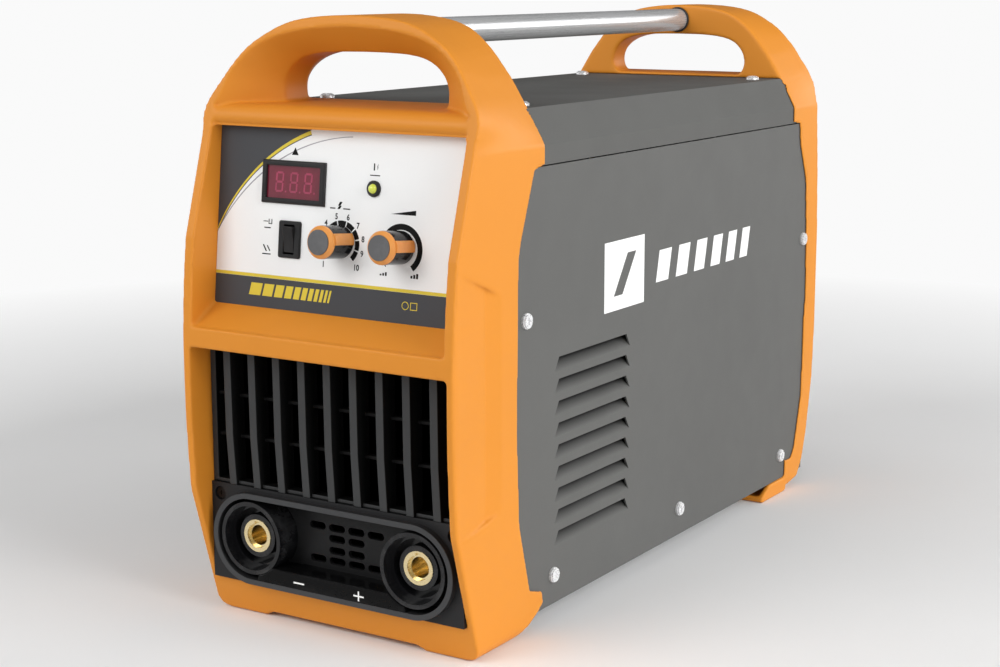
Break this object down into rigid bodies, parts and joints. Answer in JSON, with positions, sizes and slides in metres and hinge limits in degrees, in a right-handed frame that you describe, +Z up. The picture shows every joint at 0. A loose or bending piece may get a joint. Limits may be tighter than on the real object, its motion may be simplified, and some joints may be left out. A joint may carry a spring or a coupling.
{
  "type": "stick welding inverter",
  "caption": "Portable stick welding inverter: sheet-metal case between two arched carry mouldings, tube handle, control panel with dials, air grille and two output sockets",
  "frame": {"origin": "on the floor plane under the feet, midway between the side panels and between the case ends", "axes": "+X towards the right side panel seen from the operator, -Y towards the control panel (front), +Z up"},
  "size_m": [0.2048, 0.5259, 0.3805],
  "materials": {
    "orange_plastic": "satin moulded plastic",
    "grey_paint": "fine-textured powder coat",
    "zinc_sheet": "zinc-plated sheet",
    "polished_tube": "polished",
    "zinc_screw": "bright zinc",
    "panel_film": "printed film, semi-gloss",
    "black_plastic": "satin",
    "black_gloss": "gloss",
    "knob_orange": "semi-gloss",
    "knob_grey": "satin",
    "red_window": "tinted red",
    "led_display": "dim segments",
    "led_lens": "tinted yellow-green",
    "contact_brass": "machined",
    "steel_wire": "plated",
    "switch_red": "gloss",
    "cable_rubber": "matt sheath",
    "board_green": "solder mask",
    "heatsink_alu": "extruded",
    "chip_black": "epoxy",
    "ferrite": "sintered",
    "winding": "taped copper winding",
    "cap_sleeve": "shrink sleeve",
    "busbar_copper": "bare copper"
  },
  "bodies": {
    "chassis": {"alarm_led_bezel": "black_plastic", "alarm_led_lens": "led_lens", "arc_force_potentiometer": "black_plastic", "base_tray": "zinc_sheet", "board_posts": "steel_wire", "board_standoffs": "steel_wire", "bulk_capacitors": "cap_sleeve", "cable_gland": "black_plastic", "carry_tube": "polished_tube", "control_board": "board_green", "control_panel": "panel_film", "current_potentiometer": "black_plastic", "display_bezel": "black_plastic", "display_module": "led_display", "display_window": "red_window", "earth_nut": "zinc_screw", "earth_stud": "contact_brass", "fan_frame": "black_plastic", "fan_guard": "steel_wire", "front_frame": "orange_plastic", "front_grille": "black_plastic", "heatsink_left": "heatsink_alu", "heatsink_right": "heatsink_alu", "inlet_mesh": "steel_wire", "input_rectifier": "chip_black", "main_board": "board_green", "mains_cable": "cable_rubber", "negative_busbar": "busbar_copper", "negative_socket_body": "black_gloss", "negative_socket_contact": "contact_brass", "negative_socket_nut": "black_gloss", "output_choke": "winding", "plate_screws": "zinc_screw", "positive_busbar": "busbar_copper", "positive_socket_body": "black_gloss", "positive_socket_contact": "contact_brass", "positive_socket_nut": "black_gloss", "power_switch_housing": "black_plastic", "power_transistors": "chip_black", "rear_frame": "orange_plastic", "rear_panel": "zinc_sheet", "rocker_housing": "black_plastic", "side_panel_left": "grey_paint", "side_panel_right": "grey_paint", "side_screws_left": "zinc_screw", "side_screws_right": "zinc_screw", "socket_plate": "black_plastic", "top_cover": "grey_paint", "top_screws": "zinc_screw", "transformer_core": "ferrite", "transformer_winding": "winding"},
    "arc_force_dial": {"arc_force_knob": "black_gloss", "arc_force_knob_ring": "knob_orange", "arc_force_knob_cap": "knob_grey"},
    "current_dial": {"current_knob": "black_gloss", "current_knob_ring": "knob_orange", "current_knob_cap": "knob_grey"},
    "mode_switch_rocker": {"mode_rocker": "black_gloss"},
    "fan_impeller": {"fan_rotor": "black_plastic"},
    "power_rocker": {"power_switch_rocker": "switch_red"}
  },
  "joints": [
    {"name": "arc_force_turn", "type": "hinge", "parent": "chassis", "child": "arc_force_dial", "pos_m": [0.0023, -0.26103, 0.24646], "axis": [0, -0.9942, 0.1075], "range_deg": [-62, 212]},
    {"name": "current_turn", "type": "hinge", "parent": "chassis", "child": "current_dial", "pos_m": [0.0466, -0.26103, 0.24646], "axis": [0, -0.9942, 0.1075], "range_deg": [-58, 217]},
    {"name": "mode_rock", "type": "hinge", "parent": "chassis", "child": "mode_switch_rocker", "pos_m": [-0.0364, -0.26218, 0.24517], "axis": [1, 0, 0], "range_deg": [-9, 0]},
    {"name": "fan_spin", "type": "hinge", "parent": "chassis", "child": "fan_impeller", "pos_m": [0, 0.199, 0.15], "axis": [0, 1, 0], "continuous": true},
    {"name": "power_rock", "type": "hinge", "parent": "chassis", "child": "power_rocker", "pos_m": [0.04, 0.218, 0.268], "axis": [1, 0, 0], "range_deg": [0, 9]}
  ]
}
